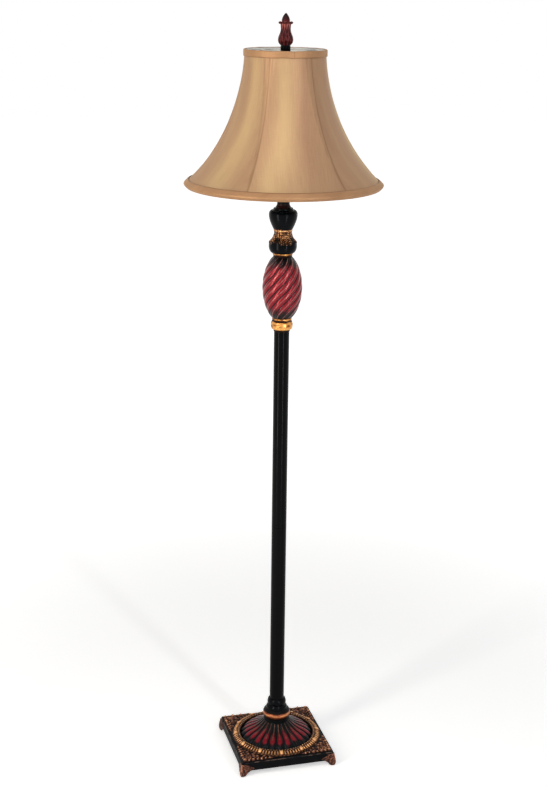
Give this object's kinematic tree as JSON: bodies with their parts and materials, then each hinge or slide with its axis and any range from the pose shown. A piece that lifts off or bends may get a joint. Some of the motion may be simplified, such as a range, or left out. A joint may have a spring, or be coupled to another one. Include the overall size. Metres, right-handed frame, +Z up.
{
  "type": "candlestick floor lamp",
  "caption": "Floor lamp with a square footed base, a ribbed dome, a straight pole, a turned and spirally fluted column top, and a panelled bell shade on a harp.",
  "frame": {"origin": "on the floor, at the middle of the square base", "axes": "+Z up along the pole; X and Y square to the sides of the base, with the cord inlet at +Y, the back"},
  "size_m": [0.4009, 0.401, 1.5998],
  "materials": {
    "slab_black": "cast resin, near-black lacquer",
    "foot_bronze": "carved resin, copper-brown with dark recesses",
    "leaf_bronze": "carved resin, aged copper gilding",
    "ring_gilt": "carved resin, aged gold with bright bosses",
    "dome_red": "cast resin, metallic red over black",
    "band_black": "satin blue-black",
    "gold_resin": "aged metallic gold",
    "turned_black": "gloss black lacquer on turned resin",
    "pole_black": "gloss black powder coat on steel tube",
    "egg_red": "metallic red fading to black-green",
    "neck_brown": "dark red-brown lacquer",
    "iron": "raw casting",
    "felt_green": "felt on board",
    "zinc_steel": "zinc plated",
    "brass": "plated, bright",
    "rubber_black": "moulded",
    "liner_card": "insulating card",
    "phenolic_black": "moulded phenolic",
    "aluminium": "rolled thread",
    "bulb_white": "soft white inside frosting",
    "shade_fabric": "champagne-gold silky weave",
    "shade_trim": "bias trim in the shade fabric",
    "shade_lining": "off-white lining",
    "frame_wire": "white painted wire",
    "finial_red": "carved resin, dark red bronze"
  },
  "bodies": {
    "stand": {"base_slab": "slab_black", "foot_front_left": "foot_bronze", "foot_front_right": "foot_bronze", "foot_back_right": "foot_bronze", "foot_back_left": "foot_bronze", "corner_front_left": "leaf_bronze", "corner_front_right": "leaf_bronze", "corner_back_right": "leaf_bronze", "corner_back_left": "leaf_bronze", "base_ring": "ring_gilt", "base_dome": "dome_red", "dome_band": "band_black", "gold_ring": "gold_resin", "pole_cup": "turned_black", "base_weight": "iron", "base_cover": "felt_green", "base_pipe": "zinc_steel", "base_washer": "zinc_steel", "base_nut": "brass", "cord_bushing": "rubber_black", "lower_pole": "pole_black", "upper_pole": "pole_black", "pole_joint": "pole_black", "pole_plugs": "zinc_steel", "egg_collar": "gold_resin", "fluted_egg": "egg_red", "egg_ring": "gold_resin", "bowl": "turned_black", "leaf_collar": "gold_resin", "urn": "turned_black", "urn_disc": "turned_black", "neck_foot": "neck_brown", "neck_tube": "pole_black", "top_pipe": "zinc_steel", "harp_saddle": "brass", "harp_wire": "brass", "harp_stud": "brass", "socket_cap": "brass", "socket_shell": "brass", "socket_liner": "liner_card", "socket_body": "phenolic_black", "screw_shell": "aluminium"},
    "shade": {"spider": "frame_wire", "shade_frame": "frame_wire", "shade_cover": "shade_fabric", "shade_lining": "shade_lining", "top_trim": "shade_trim", "bottom_trim": "shade_trim"},
    "finial_thread": {"finial_bush": "brass"},
    "finial": {"finial": "finial_red", "finial_base": "pole_black"},
    "bulb_thread": {"bulb_contact": "brass"},
    "bulb": {"bulb_glass": "bulb_white", "bulb_cap": "aluminium"},
    "switch": {"switch_knob": "phenolic_black", "switch_shaft": "brass"},
    "sleeve_left": {"harp_sleeve_left": "brass"},
    "sleeve_right": {"harp_sleeve_right": "brass"}
  },
  "joints": [
    {"name": "shade_turn", "type": "hinge", "parent": "stand", "child": "shade", "pos_m": [0, 0, 1.516], "axis": [0, 0, 1], "continuous": true},
    {"name": "finial_lift", "type": "slide", "parent": "stand", "child": "finial_thread", "axis": [0, 0, 1], "range_m": [0, 0.01327]},
    {"name": "finial_turn", "type": "hinge", "parent": "finial_thread", "child": "finial", "pos_m": [0, 0, 1.52], "axis": [0, 0, 1], "range_deg": [0, 5040]},
    {"name": "bulb_lift", "type": "slide", "parent": "stand", "child": "bulb_thread", "axis": [0, 0, 1], "range_m": [0, 0.01099]},
    {"name": "bulb_turn", "type": "hinge", "parent": "bulb_thread", "child": "bulb", "pos_m": [0, 0, 1.31], "axis": [0, 0, 1], "range_deg": [0, 1080]},
    {"name": "switch_turn", "type": "hinge", "parent": "stand", "child": "switch", "pos_m": [0, -0.02, 1.2942], "axis": [0, -1, 0], "continuous": true},
    {"name": "sleeve_left_lift", "type": "slide", "parent": "stand", "child": "sleeve_left", "axis": [0, 0, 1], "range_m": [0, 0.01]},
    {"name": "sleeve_right_lift", "type": "slide", "parent": "stand", "child": "sleeve_right", "axis": [0, 0, 1], "range_m": [0, 0.01]}
  ],
  "couplings": [
    {"joint": "finial_lift", "follows": "finial_turn", "m_per_rad": 0.00014977},
    {"joint": "bulb_lift", "follows": "bulb_turn", "m_per_rad": 0.00057757}
  ]
}
